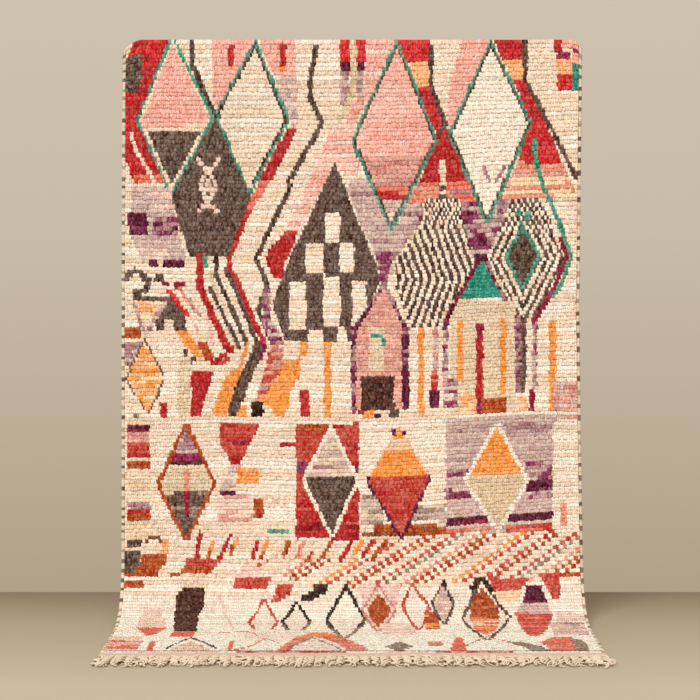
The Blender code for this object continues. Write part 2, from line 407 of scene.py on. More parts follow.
def lozenge(top, left, bottom, right, *outline):
    """Ties a lozenge's outline, given as wools and their widths from the outside in, and returns
    the knots that it leaves inside."""
    left_side = np.interp(V, (top[1], left[1], bottom[1]), (top[0], left[0], bottom[0]))
    right_side = np.interp(V, (top[1], right[1], bottom[1]), (top[0], right[0], bottom[0]))
    start = -0.5 * outline[1]
    beside = (V >= top[1]) & (V < bottom[1])
    depth = np.where(beside, np.minimum(U - left_side, right_side - U), -99.0)
    for wool, width in zip(outline[::2], outline[1::2]):
        knot((depth >= start) & (depth < start + width), wool)
        start += width
    return depth >= start


# The ground of the upper part, in cream with stray rows of other pale wools.
knot(box(-40, 500, 0, 720), "cream", "cream", "cream", "white", run=(60, 200))
knot(level_box(-40, 500, 200, 545), "cream", "white", run=(40, 120))

# Upper left: two tall lozenges, a dark one hung between them, and the red corner.
knot(
    inside((12, 0), (50, 0), (16, 80), (50, 154), (42, 143), (13, 143), (5, 120), (4, 20)),
    "bright red", "red", run=(8, 30),
)
knot(inside((3, 11), (21, 15), (21, 40), (14, 54), (3, 54)), "grey brown")
knot(inside((0, 0), (12, 0), (8, 10), (0, 12)), "cream")
knot(inside((13, 136), (40, 136), (44, 144), (13, 144)), "coral")
knot(along_line(4, (10, 92), (16, 112), (27, 130), (34, 144)), "cream")
knot(inside((90, 0), (134, 0), (96, 73), (93, 60)), "pink")
knot(box(107, 113, 5, 26), "red")
knot(box(108, 114, 27, 31), "orange")
knot(inside((138, 0), (173, 0), (175, 35), (153, 35), (141, 13)), "pink")
knot(box(159, 165, 6, 26), "red")
knot(box(158, 164, 27, 32), "orange")
knot(
    inside((153, 35), (175, 35), (179, 88), (170, 88), (160, 62)),
    "lilac", "pale pink", "lilac", run=(5, 16),
)
knot(inside((165, 90), (176, 90), (152, 138), (139, 138)), "red")
knot(inside((139, 138), (152, 138), (131, 170), (124, 170)), "coral")
knot(inside((124, 170), (131, 170), (111, 218), (106, 218)), "red")
knot(along_line(5.5, (108, 218), (108, 228), (118, 245), (129, 275), (143, 303)), "red")
knot(along_line(5.5, (143, 303), (139, 318)), "magenta")
dark_between = inside((94, 74), (130, 153), (128, 163), (107, 216), (68, 216), (50, 156), (50, 154))
knot(dark_between, "grey brown")
knot(along_line(5.4, (71, 0), (71, 25), (80, 45), (92, 72)), "dark")
body = lozenge((51, -4), (16, 80), (50, 154), (92, 78), "teal", 3.0, "cream", 3.0)
knot(body & (V < 85), "pink")
knot(body & (V >= 85) & (V < 90), "cream")
knot(body & (V >= 90), "grey brown")
body = lozenge((134, 1), (95, 73), (128, 153), (168, 80), "teal", 3.0, "maroon", 2.4)
knot(body, "cream", "cream", "white", run=(30, 90))
knot(inside((98, 78), (103, 78), (131, 140), (131, 150), (128, 150)), "cream")
knot(along_line(4, (87, 128), (79, 145), (87, 164), (95, 145), (87, 128)), "pale pink")
knot(box(84, 90, 138, 153), "pale pink")
knot(along_line(3.4, (77, 120), (83, 128), (91, 128), (97, 120)), "pale pink")
knot(along_line(3.4, (77, 173), (83, 165), (91, 165), (97, 173)), "pale pink")

# The left side below them: lilac and purple bricks, then small hooks and a dark patch.
knot(
    inside((11, 145), (49, 145), (57, 192), (65, 219), (22, 221), (11, 198)),
    "lilac", "lilac", "dusty lilac", "lilac", "pale pink", run=(6, 18),
)
knot(box(6, 27, 173, 184), "purple")
knot(box(9, 27, 187, 195), "purple", "plum", run=(6, 14))
knot(box(32, 57, 177, 195), "plum", "mauve", "mauve", run=(3, 9))
knot(box(33, 41, 182, 187) | box(50, 58, 185, 191), "purple")
knot(box(27, 37, 221, 227), "purple")
knot(box(42, 64, 219, 227), "purple")
knot(
    along_line(6.5, (1, 243), (6, 236), (14, 231), (19, 232))
    | along_line(7, (22, 235), (28, 242), (25, 250)),
    "grey brown",
)
knot(box(13, 22, 248, 258) | box(13, 49, 256, 261), "grey brown")
knot(inside((29, 260), (50, 257), (63, 270), (66, 290), (36, 290)), "grey brown")
knot(box(43, 53, 278, 290), "cream")
knot(inside((11, 260), (48, 260), (24, 300)), "mauve", "lilac", run=(2, 6))
knot(inside((14, 260), (43, 260), (25, 290)), "peach", "apricot", "pale pink", run=(4, 12))
knot(box(34, 43, 234, 240), "dark")
knot(box(40, 48, 241, 246) | box(52, 64, 241, 245) | box(53, 57, 245, 249), "crimson")
knot(along_line(5, (47, 250), (66, 274)), "bright red")
knot(along_line(4, (58, 247), (78, 274)), "dusty pink", "salmon", "rose", run=(1, 4))
knot(
    along_line(2.5, (68, 275), (78, 292)) | along_line(4, (86, 277), (92, 302)),
    "pink", "pale pink", run=(1, 3),
)
knot(along_line(4, (90, 232), (93, 252), (104, 280), (116, 306)), "beige", "tan", run=(1, 4))
knot(box(4, 21, 288, 299), "brown", "rust", run=(4, 12))
knot(
    box(2, 20, 301, 326) & ~lozenge((24, 298), (5, 338), (27, 375), (44, 338), "dark", 1.8),
    "mauve", "mauve", "lilac", run=(3, 9),
)
body = lozenge((24, 298), (5, 338), (27, 375), (44, 338), "dark", 1.8)
knot(body, "orange", "apricot", "peach", "orange", run=(3, 12))
knot(inside((9, 374), (17, 374), (19, 388), (12, 388)), "grey", "cream", run=(1, 4))
knot(box(62, 67, 310, 315) | box(69, 75, 315, 319) | box(65, 71, 320, 324), "dark")
knot(inside((54, 289), (67, 289), (76, 305), (82, 316), (74, 316), (62, 303)), "orange")
knot(inside((76, 302), (86, 302), (94, 319), (84, 319)), "brick", "rust", run=(3, 8))
knot(inside((92, 316), (108, 316), (110, 322), (95, 325)), "brick")
knot(inside((71, 330), (93, 330), (78, 378), (69, 378)), "red")
knot(box(39, 46, 362, 379), "red")
knot(box(57, 69, 320, 380), "beige", "tan", run=(6, 20))

# Lines that run down the left of the middle.
knot(along_line(7, (79, 216), (79, 248), (89, 270), (106, 307)), "red")
knot(along_line(5, (112, 308), (92, 324)), "red")
knot(box(82, 87, 216, 229), "teal")
knot(along_line(4.5, (95, 216), (95, 235), (110, 267), (125, 302)), "dark")
knot(along_line(4.5, (88, 247), (118, 306)), "dark")
knot(along_line(4.5, (104, 230), (113, 245), (124, 275), (137, 305)), "dark")
knot(
    inside(
        (124, 303), (129, 303), (122, 326), (119, 338), (105, 378), (89, 378), (104, 338),
        (118, 326),
    ),
    "orange",
)
knot(box(116, 125, 364, 378), "orange")
knot(
    inside(
        (133, 305), (142, 305), (136, 325), (124, 355), (115, 378), (106, 378), (111, 355),
        (124, 325),
    ),
    "dark",
)
knot(
    along_line(5, (195, 7), (189, 40), (189, 57), (201, 82), (187, 108), (167, 141), (169, 148)),
    "dark",
)
knot(along_line(5, (169, 148), (153, 180), (135, 218), (146, 245), (137, 271), (150, 300)), "dark")

# Upper middle: a striped block, pink ground and the great chequered lozenge.
knot(box(219, 229, 0, 23) | box(236, 246, 0, 23), "bright red")
knot(box(219, 229, 23, 31) | box(236, 243, 23, 31), "purple")
knot(box(219, 228, 31, 66) | box(236, 242, 31, 66), "lilac", "mauve", run=(2, 7))
knot(box(229, 236, 0, 50), "tan")
knot(inside((229, 50), (236, 50), (222, 92), (212, 92)), "tan")
knot(
    inside(
        (245, 0), (276, 0), (231, 101), (240, 124), (214, 124), (201, 116), (222, 80), (243, 62),
    ),
    "pink", "pink", "pale pink", "pink", run=(20, 60),
)
knot(inside((229, 62), (243, 56), (236, 82), (226, 88)), "salmon", "pink", run=(4, 12))
knot(
    inside(
        (212, 84), (239, 84), (231, 101), (240, 132), (224, 136), (214, 122), (196, 160),
        (172, 196), (166, 188), (188, 142),
    ),
    "pink", "light pink", "pale pink", run=(20, 60),
)
knot(
    inside(
        (164, 192), (177, 192), (171, 210), (164, 222), (161, 238), (152, 238), (145, 222),
        (147, 210),
    ),
    "red",
)
knot(
    inside((141, 250), (150, 250), (149, 275), (163, 303), (151, 303), (141, 280)),
    "mauve", "plum", "lilac", run=(1, 4),
)
great = inside((214, 122), (260, 238), (231, 300), (164, 300), (151, 265), (164, 228))
knot(great, "grey brown")
for cell in (
    (204, 219, 172, 202),
    (184, 202, 203, 235),
    (218, 233, 203, 234),
    (168, 185, 240, 291),
    (202, 219, 235, 288),
    (231, 245, 241, 286),
    (187, 202, 289, 300),
    (217, 226, 288, 300),
):
    knot(box(*cell), "white", "cream", run=(8, 20))

# The streaky lilac field, laid before what stands on it.
field = inside((230, 141), (389, 135), (389, 220), (345, 235), (262, 235), (226, 149))
knot(field, "lilac", "dusty lilac", "lilac", "dusty lilac", "mauve", run=(8, 30))
knot(
    inside((340, 158), (389, 158), (372, 178), (357, 190), (340, 190)),
    "mauve", "rose", "lilac", run=(4, 12),
)
knot(inside((290, 158), (303, 158), (300, 172), (284, 172)), "mauve", "lilac", run=(4, 12))
knot(box(297, 304, 175, 181) | box(341, 349, 170, 181) | box(352, 369, 213, 222), "purple")
knot(box(349, 357, 166, 187) | box(347, 369, 200, 207), "plum", "mauve", "plum", run=(3, 8))
knot(box(369, 386, 180, 184), "plum", "rose", run=(3, 8))
knot(box(352, 362, 196, 200) | box(285, 291, 199, 205), "crimson")
knot(
    inside((253, 213), (278, 213), (269, 226), (266, 246), (260, 246), (257, 226)),
    "mauve", "plum", run=(1, 4),
)
knot(
    inside((338, 160), (389, 158), (384, 178), (372, 208), (362, 216), (345, 200), (339, 180)),
    "mauve", "plum", "dusty lilac", "mauve", "lilac", run=(3, 9),
)
knot(box(340, 352, 172, 184) | box(348, 366, 199, 208), "purple", "plum", run=(3, 8))
knot(box(357, 366, 195, 199), "crimson")

# Upper right: a pink and a white lozenge, with red and apricot ground on both sides of them.
knot(box(278, 310, 0, 22), "bright red")
knot(box(289, 308, 22, 46), "apricot")
knot(
    inside((295, 46), (307, 46), (316, 65), (327, 93), (315, 93), (303, 65)),
    "bright red", "red", run=(4, 20),
)
knot(inside((316, 93), (327, 90), (347, 140), (299, 140)), "red")
knot(
    inside((299, 140), (347, 140), (356, 161), (288, 161)),
    "salmon", "red", "coral", "mauve", run=(8, 24),
)
knot(box(318, 325, 118, 160), "cream")
knot(box(318, 325, 146, 149) | box(318, 325, 154, 157), "dark")
knot(inside((341, 0), (369, 0), (352, 40), (331, 85), (325, 85), (330, 40)), "pink")
knot(inside((373, 0), (403, 0), (403, 20), (382, 20)), "red", "bright red", run=(10, 30))
knot(inside((382, 20), (403, 20), (404, 42), (392, 42)), "apricot")
knot(
    inside((392, 40), (405, 40), (419, 70), (441, 122), (396, 122), (410, 83)),
    "bright red", "bright red", "red", run=(10, 40),
)
knot(
    inside((396, 122), (441, 122), (456, 158), (380, 158)),
    "salmon", "dusty pink", "salmon", "peach", run=(16, 50),
)
knot(along_line(4.5, (404, 0), (404, 40), (422, 73), (436, 100), (455, 137)), "dark")
knot(along_line(4.5, (310, 7), (310, 45), (324, 85), (320, 91)), "dark")
body = lozenge((276, 1), (231, 101), (270, 190), (316, 100), "teal", 2.8, "dark", 1.8)
knot(body & (V < 117), "light pink", "light pink", "pink", run=(20, 60))
knot(body & (V >= 117) & (V < 147), "dusty pink", "rose", "dusty pink", run=(16, 40))
knot(body & (V >= 147) & (V < 161), "red", "salmon", "coral", run=(4, 14))
knot(body & (V >= 161), "lilac", "pale pink")
body = lozenge((370, 1), (328, 94), (366, 184), (410, 83), "teal", 2.8, "dark", 1.8)
knot(body, "white")
knot(along_line(3, (363, 128), (369, 142)) | along_line(3, (385, 125), (376, 140)), "mauve")
knot(
    along_line(
        4.5, (414, 98), (414, 120), (424, 150), (437, 180), (449, 215), (443, 238), (432, 257),
    ),
    "teal",
)
knot(box(432, 441, 0, 10), "red")
knot(box(441, 457, 0, 8) | box(451, 459, 13, 22), "pink")
knot(box(436, 449, 10, 17) | box(452, 458, 7, 12), "magenta")
knot(box(436, 454, 17, 36), "apricot")
knot(box(436, 453, 36, 50), "bright red")
knot(box(452, 462, 24, 50), "deep teal")
knot(
    box(447, 456, 163, 194) | inside((457, 254), (457, 282), (443, 280)),
    "pale pink", "cream", run=(2, 6),
)

# The string-patterned vase and spindle.
vase = inside(
    (305, 159), (339, 159), (341, 182), (353, 222), (353, 245), (322, 286), (289, 286), (274, 245),
    (274, 222), (303, 182),
)
knot(along_line(4.5, (305, 159), (303, 182), (274, 222), (274, 245), (289, 286)), "cream")
strings = (U - 0.36 * np.where(V < 240.0, V, 480.0 - V)) % 7.6 < 3.7
strings = np.where(V < 184.0, (U + 2.4 * (row % 2)) % 4.8 < 2.4, strings)
knot(vase, "white", "cream", run=(3, 9))
knot(vase & strings, "dark")
spindle = inside((391, 159), (419, 159), (446, 216), (412, 281), (399, 281), (366, 218))
knot(spindle, "white", "cream", run=(3, 9))
strings = (np.abs(U - 402.0) + 0.5 * np.abs(V - 218.0)) % 7.6 < 3.5
strings = np.where(V < 192.0, (U + 3.0 * (row % 2)) % 6.0 < 2.8, strings)
knot(spindle & strings, "dark")
body = lozenge((401, 186), (385, 216), (401, 250), (418, 216), "teal", 4.2)
knot(body, "dark")
knot(box(396, 400, 168, 176) | box(404, 409, 172, 180) | box(399, 403, 180, 186), "teal")
knot(along_line(4.5, (439, 198), (446, 216), (432, 250), (413, 281)), "crimson")
knot(along_line(4.5, (365, 222), (379, 252), (400, 281)), "crimson", "maroon", "mauve", run=(2, 5))

# Below them: the teal peak, the pink house and the upright stripes.
knot(box(329, 394, 260, 380), "beige")
knot(inside((361, 219), (382, 259), (338, 259)), "deep teal")
knot(
    along_line(4.5, (357, 222), (344, 245), (328, 273), (323, 290)),
    "purple", "crimson", run=(2, 5),
)
knot(
    inside((263, 246), (281, 290), (281, 370), (235, 370), (235, 290)),
    "dusty pink", "pink", "dusty pink", run=(8, 24),
)
knot(
    along_line(4, (263, 244), (235, 287)) | along_line(4, (263, 244), (284, 287)),
    "purple", "mauve", run=(2, 5),
)
knot(box(248, 263, 287, 333), "beige")
knot(box(249, 264, 292, 296), "teal", "beige", run=(2, 6))
knot(box(260, 264, 296, 305), "teal")
knot(box(240, 273, 335, 370), "maroon")
knot(box(230, 235, 287, 372) | box(281, 288, 287, 370), "purple", "mauve", "plum", run=(1, 4))
knot(box(230, 235, 294, 306) | box(281, 288, 294, 308) | box(281, 288, 325, 370), "purple")
knot(box(203, 210, 300, 380), "orange")
knot(box(297, 303, 286, 380), "orange")
knot(box(312, 317, 285, 333), "rose", "dusty pink", "lilac", run=(1, 3))
knot(box(310, 317, 333, 350), "coral", "red", run=(1, 3))
knot(box(309, 318, 350, 367), "purple")
knot(box(322, 327, 290, 367), "mauve", "plum", "lilac", run=(1, 3))
knot(box(336, 342, 282, 342), "orange")
knot(box(355, 362, 282, 300), "crimson")
knot(box(355, 362, 300, 358), "red")
knot(box(355, 362, 358, 375), "magenta")
knot(box(379, 385, 280, 355), "orange")
knot(box(394, 400, 278, 352), "mauve", "plum", "mauve", run=(1, 3))
knot(box(400, 405, 278, 352), "grey brown")
knot(box(411, 416, 280, 350), "mauve", "plum", "lilac", run=(1, 3))
knot(box(408, 413, 350, 375), "crimson")
knot(box(428, 435, 280, 373), "orange")
knot(box(323, 337, 338, 367), "lilac", "pale pink", "dusty pink", run=(4, 9))
knot(
    box(326, 337, 340, 344) | box(323, 337, 351, 355) | box(325, 337, 362, 366),
    "plum", "mauve", run=(4, 10),
)
knot(box(339, 355, 354, 378) | box(397, 406, 355, 375), "peach", "apricot", run=(2, 6))
knot(box(360, 385, 357, 378), "rust")
knot(box(432, 456, 343, 380), "dusty pink", "lilac", "rose", "lilac", run=(2, 6))
knot(box(150, 157, 303, 317) | box(179, 187, 301, 316), "orange")
knot(
    inside((150, 303), (163, 308), (161, 335), (142, 364), (133, 364), (141, 340)),
    "rose", "salmon", "brick", run=(2, 8),
)
knot(
    inside(
        (163, 318), (180, 318), (179, 333), (169, 352), (167, 366), (162, 379), (155, 379),
        (150, 366), (140, 366), (141, 358), (155, 340),
    ),
    "orange",
)
knot(box(130, 142, 362, 380), "black")
knot(box(179, 189, 352, 381), "red")
knot(box(236, 243, 370, 375), "crimson")
knot(box(242, 252, 371, 380), "orange")
knot(box(253, 259, 374, 381), "black")
knot(box(268, 278, 370, 380), "dark")

# The band of boxes, each with its lozenge.
knot(level_box(0, 462, 378, 382), "cream", "white", run=(20, 60))
knot(box(6, 29, 382, 500), "cream", "beige", "peach", run=(14, 24))
for top, bottom, wool in (
    (385, 389, "purple"),
    (389, 393, "crimson"),
    (393, 401, "dusty pink"),
    (401, 416, "brick"),
    (412, 416, "red"),
    (422, 429, "rust"),
    (463, 468, "mauve"),
    (469, 474, "red"),
    (474, 482, "rust"),
):
    knot(box(6, 29, top, bottom), wool)
body = lozenge((65, 383), (37, 444), (65, 501), (94, 443), "rust", 4.4)
knot(body & (V < 416), "lilac", "mauve")
knot(body & (V >= 414) & (V < 421), "magenta")
knot(body & (V >= 421) & (V < 425), "maroon")
knot(body & (V >= 425) & (V < 453), "beige")
knot(body & (V >= 453), "grey brown", "grey brown", "grey")
knot(box(63, 68, 427, 453), "salmon")
knot(box(63, 68, 453, 476), "crimson")
knot(
    inside((99, 383), (139, 383), (126, 410), (119, 424), (110, 424), (104, 412), (98, 400)),
    "brick", "brick", "red", run=(8, 20),
)
knot(box(111, 128, 401, 406), "crimson")
knot(
    inside((111, 424), (121, 424), (114, 450), (98, 450)),
    "pale pink", "lilac", "cream", run=(3, 8),
)
knot(box(116, 138, 427, 444), "orange")
knot(box(98, 115, 450, 456), "purple")
knot(box(96, 132, 456, 482), "dusty pink", "pale pink", "cream")
knot(box(132, 142, 458, 479), "rust")
knot(box(146, 168, 490.4, 494.1), "teal")
knot(box(160, 175, 402, 405), "red")
knot(box(175, 238, 383, 499), "brick", "red", "brick", run=(8, 30))
knot(box(175, 208, 391, 420), "brick")
knot(box(175, 238, 484, 499), "red", "dark red", run=(8, 30))
knot(box(175, 205, 383, 391), "rust")
knot(box(175, 192, 423, 433) | box(222, 238, 424, 434), "plum")
body = lozenge((210, 386), (182, 440), (211, 498), (237, 440), "white", 4.4)
knot(body & (V < 437), "lilac", "pale pink", "beige", run=(8, 20))
knot(body & (V > 425) & (V < 429), "mauve", "lilac")
knot(body & (V >= 437), "dark", "grey brown", "dark", run=(8, 20))
knot(box(240, 262, 455, 484), "beige", "grey", "lilac", run=(3, 9))
knot(box(285, 324, 464, 481), "lilac", "beige", "grey", "dusty lilac", run=(5, 16))
knot(box(240, 252, 491, 497) | box(252, 324, 485, 496), "rust", "rust", "brown", run=(8, 20))
body = lozenge((278, 387), (247, 440), (280, 497), (308, 438), "apricot", 1.2)
knot(along_line(4.5, (247, 440), (280, 497), (308, 438)), "purple")
knot(body & (V < 435), "orange")
knot(body & (V >= 398) & (V < 411), "peach")
knot(box(271, 275, 390, 395) | box(282, 286, 390, 395), "purple")
knot(body & (V >= 435), "brick", "brick", "red", run=(6, 20))
knot(level_box(325, 432, 382, 499), "lilac", "lilac", "dusty lilac", run=(12, 50))
for streak in (
    (336, 369, 388, 393),
    (384, 431, 383, 392),
    (336, 354, 410, 414),
    (416, 431, 410, 414),
    (411, 431, 450, 456),
):
    knot(box(*streak), "mauve", "dusty lilac", "mauve", run=(3, 10))
for streak in (
    (326, 349, 428, 438),
    (324, 349, 450, 460),
    (404, 431, 423, 430),
    (409, 431, 432, 438),
):
    knot(box(*streak), "plum", "mauve", run=(4, 12))
knot(box(405, 431, 440, 450), "purple", "plum", "purple", run=(6, 14))
knot(box(397, 411, 454, 457), "crimson")
knot(level_box(325, 370, 482, 490), "crimson", "purple", run=(8, 20))
knot(level_box(385, 432, 482, 490), "purple")
knot(level_box(325, 370, 492, 499), "salmon", "rose", "coral", run=(8, 20))
knot(level_box(385, 432, 492, 499), "coral", "brick", run=(8, 20))
body = lozenge((376, 382), (344, 440), (377, 492), (407, 440), "white", 4.4)
knot(body & (V < 435), "orange")
knot(body & (V >= 435), "tan")
knot(box(440, 446, 465, 487), "salmon")
knot(level_box(0, 462, 499, 503), "cream", "white", run=(20, 60))

# The ground of the bend and the foot grows paler downwards: painted light, for the flat foot lit
# from above.
knot(level_box(-40, 500, 545, 580), "white", "cream", "white", run=(60, 200))
knot(level_box(-40, 500, 580, 640), "white", "milk_painted_light", "milk_painted_light", run=(20, 60))
knot(level_box(-40, 500, 640, 720), "milk_painted_light")

# Slanting strokes, and slanting rows of dots.
slant, dot_pitch, dot_width = U + 6.2 * row, 9.6, 4.7
dotted = inside(
    (162, 535), (181, 519), (224, 519), (281, 500), (319, 493), (465, 491), (465, 537), (349, 543),
    (269, 547), (179, 547),
)
dot_wools = (
    "brick", "rust", "cream", "brick", "grey", "cream", "salmon",
    "rust", "rust", "cream", "cream", "orange", "brick", "cream",
)
knot(dotted, "cream", "white", run=(3, 9))
for number, wool in enumerate(dot_wools):
    of_this_wool = slant // dot_pitch % len(dot_wools) == number
    knot(dotted & (slant % dot_pitch < dot_width) & of_this_wool, wool)
for wool, top, bottom in (
    ("red", (79, 492), (76, 520)),
    ("orange", (92, 501), (89, 513)),
    ("rust", (89, 513), (86, 520)),
    ("red", (110, 495), (97, 520)),
    ("orange", (116, 501), (112, 508)),
    ("rust", (112, 507), (110, 512)),
    ("red", (137, 501), (131, 518)),
    ("orange", (147, 500), (142, 511)),
    ("rust", (143, 512), (138, 521)),
    ("rust", (168, 501), (163, 515)),
    ("salmon", (182, 502), (177, 516)),
    ("brick", (191, 513), (185, 521)),
    ("rust", (210, 502), (201, 517)),
    ("red", (230, 502), (220, 520)),
    ("orange", (241, 501), (234, 512)),
    ("red", (252, 501), (242, 516)),
    ("rust", (265, 501), (252, 518)),
):
    knot(along_line(4.4, top, bottom), wool)
knot(inside((20, 516), (47, 513), (45, 521), (35, 538), (-1, 538), (7, 532), (19, 527)), "rust")
knot(box(5, 21, 500, 507), "grey brown")
knot(inside((0, 511), (20, 511), (19, 526), (13, 532), (0, 532)), "grey brown")
knot(box(0, 23, 540, 549), "rust")
knot(along_line(3, (26, 501), (29, 497), (35, 496), (40, 501)), "brown")
knot(inside((41, 501), (48, 501), (47, 513), (38, 516)), "apricot")
knot(box(52, 57, 500, 516), "pale pink")
knot(inside((66, 518), (100, 518), (95, 526), (63, 528)), "brick")
knot(inside((63, 527), (95, 527), (90, 534), (60, 534)), "rust")
knot(box(50, 61, 532, 536), "rust")
knot(box(59, 87, 535, 549), "beige", "cream", "tan")
knot(inside((126, 519), (147, 519), (136, 538), (113, 538)), "pale pink")
knot(along_line(3, (125, 526), (147, 522)), "rust", "cream")
knot(inside((115, 538), (151, 538), (145, 549), (111, 549)), "brick")

# Small lozenges where the cloth bends.
knot(
    inside((63, 550), (84, 550), (84, 576), (79, 580), (82, 626), (59, 626), (56, 579), (56, 556)),
    "maroon",
)
knot(box(25, 44, 572, 587), "pale pink")
knot(box(22, 49, 587, 611), "pale pink", "cream")
knot(inside((22, 611), (52, 611), (44, 634), (36, 647)), "coral")
knot(inside((60, 626), (82, 626), (80, 647), (58, 647)), "coral")
knot(along_line(2.5, (92, 579), (99, 556), (116, 614)), "pale pink")
knot(inside((157, 546), (172, 546), (168, 556), (160, 563), (151, 563)), "brick")
knot(lozenge((144, 561), (130, 595), (146, 651), (158, 595), "brick", 3.4), "white")
knot(box(128, 160, 618, 660), "white")
knot(box(192, 206, 546, 555), "black")
knot(box(186, 199, 553, 559), "black")
knot(box(181, 193, 558, 564), "black")
knot(lozenge((176, 564), (163, 595), (179, 655), (189, 592), "black", 3.4), "white")
knot(along_line(3.4, (164, 604), (170, 626)) | along_line(3.4, (189, 596), (183, 632)), "grey")
knot(box(162, 191, 620, 660), "white")
# Its inside is partly knotted in the palest wool, painted light as on the foot.
knot(
    lozenge((225, 545), (206, 589), (224, 659), (243, 587), "black", 3.6),
    "white", "milk_painted_light", run=(8, 20),
)
knot(
    along_line(3.6, (206, 598), (216, 632)) | along_line(3.6, (243, 594), (231, 632)),
    "grey brown",
)
knot(along_line(3.4, (212, 618), (224, 659), (237, 612)), "grey")
knot(inside((236, 546), (279, 546), (276, 572), (245, 572)), "pale pink", "dusty pink")
knot(lozenge((257, 546), (241, 574), (256, 626), (274, 574), "rose", 3.0, "cream", 3.0), "rust")
knot(box(258, 292, 600, 640), "pale pink", "white", run=(4, 12))
knot(lozenge((291, 544), (281, 568), (296, 622), (307, 570), "brick", 3.0), "white")
knot(box(302, 317, 580, 618), "rust", "orange")
knot(
    lozenge((322, 543), (310, 567), (321, 602), (332, 567), "grey brown", 3.0),
    "cream", "lilac", run=(4, 9),
)
knot(box(320, 325, 541, 548), "black")
knot(box(372, 398, 552, 563), "peach")
knot(lozenge((360, 538), (339, 587), (358, 663), (386, 585), "grey brown", 3.4), "white")
knot(along_line(6, (357, 540), (351, 550)) | along_line(6, (362, 540), (370, 552)), "black")
knot(inside((360, 547), (348, 568), (347, 587), (376, 587), (375, 570)), "rust")
knot(inside((347, 587), (376, 587), (370, 622), (360, 643), (350, 626)), "orange", "coral", "peach")
knot(inside((367, 538), (409, 538), (398, 552), (372, 552)), "brick")
knot(along_line(5.5, (420, 537), (461, 535)), "brick", "rust", run=(2, 6))
knot(inside((420, 538), (439, 538), (438, 563), (431, 563), (425, 549)), "brick")
knot(inside((406, 547), (420, 547), (424, 564), (399, 567)), "purple")
knot(inside((399, 567), (425, 567), (428, 580), (394, 580)), "lilac")
knot(
    inside((392, 580), (430, 580), (421, 611), (408, 647), (399, 647), (394, 607)),
    "coral", "brick",
)
knot(box(431, 459, 579, 595), "pink", "pale pink", "cream")
knot(box(424, 457, 599, 639), "lilac", "mauve", "pale pink")

# The last rows, on the floor.
knot(box(4, 31, 647, 663), "peach")
knot(box(3, 34, 663, 700), "pink", "coral", "pale pink")
knot(inside((42, 667), (48, 667), (47, 698), (42, 698)), "coral")
knot(inside((80, 667), (105, 700), (60, 700)), "pink", "cream")
knot(along_line(2.6, (60, 690), (78, 651), (105, 690)), "dark")
knot(along_line(2.6, (105, 630), (130, 626), (142, 643)), "coral")
knot(along_line(2.4, (116, 700), (136, 686), (150, 655), (161, 671)), "coral")
knot(box(116, 120, 667, 698), "coral")
knot(
    inside((161, 700), (178, 651), (193, 630), (210, 634), (229, 663), (249, 700)),
    "coral", "salmon",
)
knot(inside((178, 651), (193, 630), (212, 634), (218, 647), (193, 643)), "orange")
knot(inside((172, 700), (184, 667), (195, 647), (210, 663), (229, 700)), "white")
knot(along_line(2.2, (168, 700), (193, 651), (224, 700)), "grey")
knot(inside((276, 667), (288, 686), (275, 700), (262, 686)), "grey")
knot(box(302, 315, 667, 686), "salmon", "mauve")
knot(inside((329, 651), (335, 651), (336, 700), (321, 700)), "coral")
knot(along_line(2.2, (362, 643), (334, 686)), "grey")
knot(along_line(2.2, (364, 655), (381, 671)), "coral")
knot(inside((376, 671), (389, 667), (418, 700), (400, 700)), "grey")
knot(
    inside((422, 647), (440, 647), (439, 698), (415, 698), (407, 671)),
    "salmon", "coral", "coral", run=(6, 14),
)
knot(inside((438, 651), (448, 663), (450, 700), (438, 700)), "grey")
knot(level_box(-40, 500, 696, 702), "white", "pale pink")
knot(
    level_box(125, 225, 696, 702) | level_box(307, 379, 696, 702),
    "rose", "brick", "salmon", run=(2, 6),
)

# Every knot's own shade: a drift along each row, and a little from knot to knot.
dyes = np.array([linear(*wools[name]) for name in wool_names])
drifts, drift_spread, knot_spread, row_shade, hue_spread = 12, 0.04, 0.05, 0.03, 0.02
drift = chance.normal(0.0, 1.0, (rows, drifts))
drift_places = np.linspace(0, knots_across, drifts)
drift = np.stack([np.interp(np.arange(knots_across), drift_places, line) for line in drift])
shade = 1.0 + drift_spread * drift + chance.normal(0.0, knot_spread, chart.shape)
shade = shade + chance.normal(0.0, row_shade, (rows, 1))
knot_colour = dyes[chart] * np.clip(shade, 0.7, 1.3)[:, :, None]
knot_colour = knot_colour * (1.0 + chance.normal(0.0, hue_spread, chart.shape + (3,)))
grain = 0.12 * dyes[chart] ** 0.4 * (1.15 - dyes[chart])
knot_colour = knot_colour + 0.35 * grain * chance.normal(0.0, 1.0, chart.shape + (1,))
knot_colour = np.clip(knot_colour, 0.004, 0.97)

# The three sections of a knot: on the back, at its bend, and at its cut end. Each has an upper
# (outer) and a lower (inner) side, given as shares of the row's height and distances off the back.
section_down = np.array([[0.20, 0.72], [-0.10, 0.62], [0.84, 1.18]])
section_off = np.array([[0.0, 0.0], [0.0137, 0.0070], [0.0149, 0.0132]])
section_width = np.array([0.84, 1.16, 1.24])
# Painted shade: each knot is painted darker at its back and bend than at its cut end, for the shade
# that the row above casts on its root.
section_painted_shade = np.array([0.92, 0.92, 1.0])
loose_waves = 24
knot_drift, tip_drift, tip_right, knot_swell = 0.0004, 0.0012, 0.0006, 0.08
tip_ragged, tip_slant, tip_short = 0.12, 0.10, 0.12
off_spread, tip_off_spread, knot_tilt = 0.0006, 0.0008, 0.0010
last_longer, last_flatter = 0.22, 0.4
last_rows, last_rows_off = (0, 1, 2, 3), (0.55, 0.8, 0.93, 1.0)
fleece = np.random.default_rng(fleece_seed)
nudge = fleece.uniform(-1.0, 1.0, chart.shape + (8,))
loose = fleece.normal(0.0, 1.0, (rows, loose_waves))
loose_places = np.linspace(0.0, 1.0, loose_waves)
loose = np.stack([np.interp(knot_share, loose_places, line) for line in loose])
